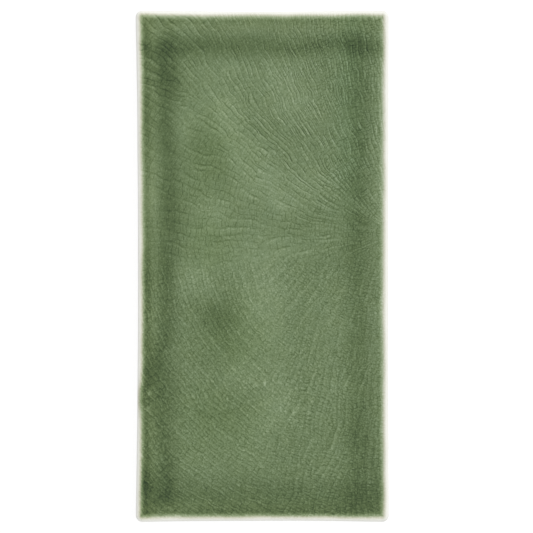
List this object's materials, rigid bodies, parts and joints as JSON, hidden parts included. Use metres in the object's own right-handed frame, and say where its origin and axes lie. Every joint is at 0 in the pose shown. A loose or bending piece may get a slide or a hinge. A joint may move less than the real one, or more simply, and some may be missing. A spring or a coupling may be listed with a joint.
{
  "type": "subway tile",
  "caption": "Rectangular pressed ceramic wall tile with a rolled border, a shallow moat round a level field, a green crackle glaze and a keyed back for adhesive.",
  "frame": {"origin": "middle of the tile's back, on the plane of its lands", "axes": "+X across the tile, +Y along it towards its head, +Z out of the glazed face"},
  "size_m": [0.076, 0.153, 0.0095],
  "materials": {
    "crackle_glaze": "gloss"
  },
  "bodies": {
    "root": {"tile": "crackle_glaze"}
  },
  "joints": []
}
